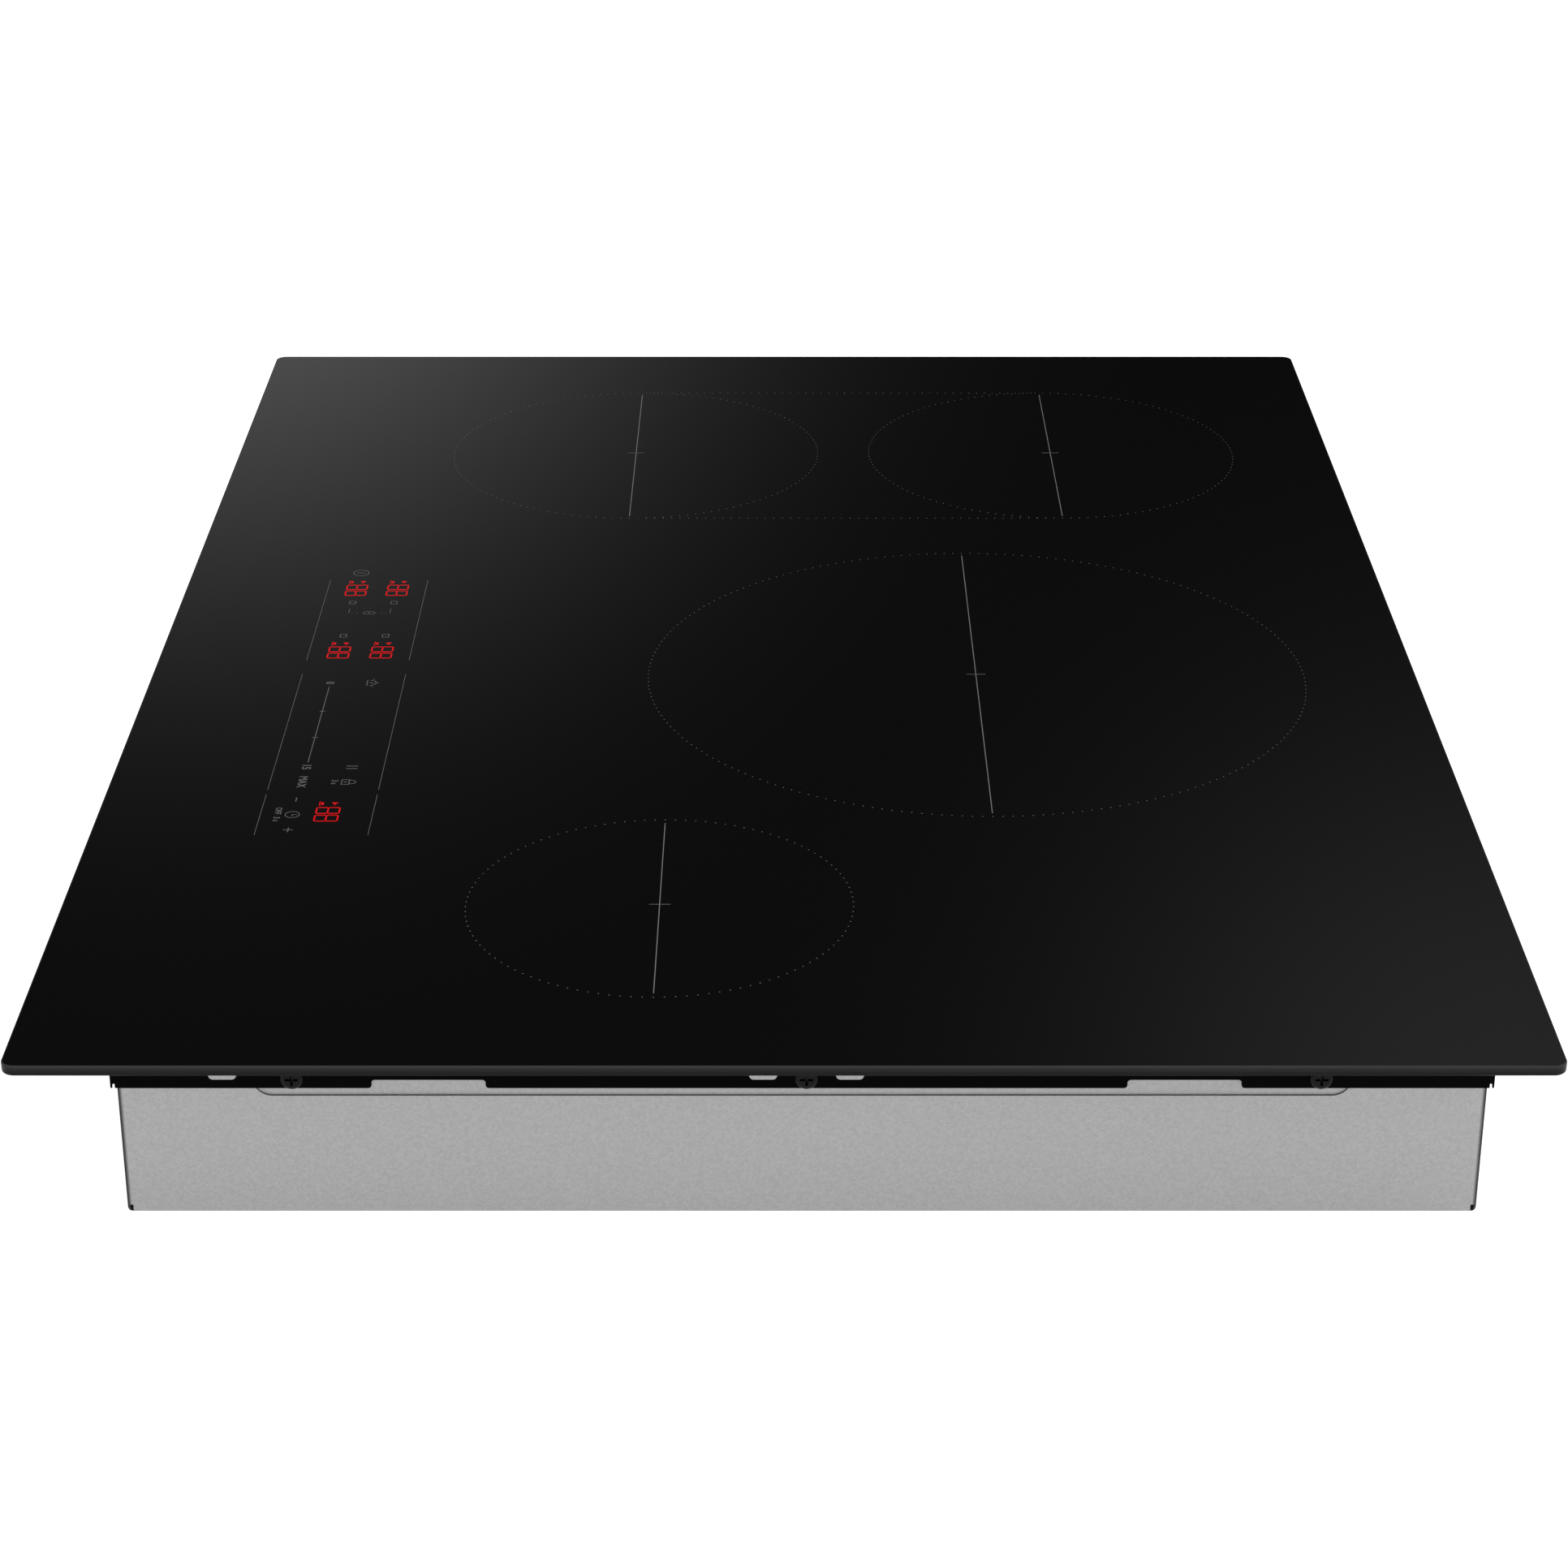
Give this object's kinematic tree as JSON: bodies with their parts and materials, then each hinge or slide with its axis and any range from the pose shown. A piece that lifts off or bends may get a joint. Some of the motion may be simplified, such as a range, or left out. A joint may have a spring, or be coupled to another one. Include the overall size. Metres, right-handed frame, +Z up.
{
  "type": "electric induction cooktop",
  "caption": "Drop-in electric induction cooktop: flat black glass with printed cooking zones and a touch panel, on a shallow galvanised steel case",
  "frame": {"origin": "under the centre of the glass, on the plane of the steel case's base", "axes": "+X is the user's right, along the glass's long side; +Y points away from the user; +Z is up"},
  "size_m": [0.762, 0.54, 0.0715],
  "materials": {
    "adhesive": "matt black silicone",
    "aluminium_sheet": "mill finish sheet",
    "black_frame": "satin black powder coat",
    "black_glass": "polished black glass-ceramic",
    "black_moulding": "black epoxy package",
    "black_screws": "black zinc, satin",
    "blower_plastic": "black moulded plastic",
    "bush_plastic": "black moulded plastic",
    "capacitor_box": "yellow moulded box",
    "capacitor_grey": "grey moulded box",
    "carrier_plastic": "black moulded plastic",
    "choke_wire": "enamelled wire on a toroid",
    "copper_litz": "enamelled copper litz wire",
    "cover_plastic": "dark grey moulded plastic",
    "display_plastic": "smoked display housing",
    "extruded_aluminium": "extruded, mill finish",
    "ferrite": "sintered ferrite, matt",
    "former_plastic": "glass-filled polyester",
    "galvanised": "galvanised sheet, fine even spangle",
    "green_board": "fibreglass circuit board, green resist",
    "insulation_film": "polycarbonate film",
    "lead_silicone": "red silicone insulation",
    "mica": "pressed mica sheet",
    "motor_metal": "dark coated laminations and shaft",
    "nylon": "natural nylon",
    "relay_plastic": "blue moulded case",
    "ribbon_pvc": "grey ribbon cable",
    "seal_foam": "matt black foam tape",
    "silicone_boot": "silicone rubber",
    "spring_steel": "bright spring wire",
    "steel_post": "zinc plated steel",
    "terminal_plastic": "light grey moulded plastic",
    "touch_foam": "conductive foam",
    "zinc_screws": "zinc plated steel"
  },
  "bodies": {
    "base": {"blower_cover_left": "blower_plastic", "blower_cover_right": "blower_plastic", "blower_housing_left": "blower_plastic", "blower_housing_right": "blower_plastic", "blower_motor_left": "motor_metal", "blower_motor_right": "motor_metal", "board_screws": "zinc_screws", "board_standoffs": "nylon", "bottom_case": "galvanised", "bus_capacitors": "capacitor_grey", "cable_bush": "bush_plastic", "coil_former_centre": "former_plastic", "coil_former_front_left": "former_plastic", "coil_former_rear_left": "former_plastic", "coil_former_right": "former_plastic", "coil_leads": "lead_silicone", "coil_plate_left": "aluminium_sheet", "coil_plate_right": "aluminium_sheet", "coil_springs": "spring_steel", "coil_winding_centre": "copper_litz", "coil_winding_front_left": "copper_litz", "coil_winding_rear_left": "copper_litz", "coil_winding_right": "copper_litz", "ferrite_bars_centre": "ferrite", "ferrite_bars_front_left": "ferrite", "ferrite_bars_rear_left": "ferrite", "ferrite_bars_right": "ferrite", "filter_board": "green_board", "filter_capacitors": "capacitor_box", "filter_chokes": "choke_wire", "frame_screws": "black_screws", "glass_adhesive": "adhesive", "glass_top": "black_glass", "heat_sink_left": "extruded_aluminium", "heat_sink_right": "extruded_aluminium", "insulating_sheets": "insulation_film", "led_displays": "display_plastic", "mains_relays": "relay_plastic", "mica_disc_centre": "mica", "mica_disc_front_left": "mica", "mica_disc_rear_left": "mica", "mica_disc_right": "mica", "panel_board": "green_board", "panel_carrier": "carrier_plastic", "plate_pillars": "steel_post", "plate_screws": "zinc_screws", "power_board_left": "green_board", "power_board_right": "green_board", "power_transistors": "black_moulding", "rectifier_bridges": "black_moulding", "resonant_capacitors": "capacitor_box", "ribbon_cable": "ribbon_pvc", "support_frame": "black_frame", "temperature_sensors": "silicone_boot", "terminal_block": "terminal_plastic", "terminal_cover": "cover_plastic", "touch_pads": "touch_foam", "worktop_gasket": "seal_foam"},
    "blower_left": {"blower_rotor_left": "blower_plastic"},
    "blower_right": {"blower_rotor_right": "blower_plastic"}
  },
  "joints": [
    {"name": "blower_spin_left", "type": "hinge", "parent": "base", "child": "blower_left", "pos_m": [-0.262, 0.16, 0.01], "axis": [0, 0, 1], "continuous": true},
    {"name": "blower_spin_right", "type": "hinge", "parent": "base", "child": "blower_right", "pos_m": [0.218, 0.16, 0.01], "axis": [0, 0, 1], "continuous": true}
  ]
}
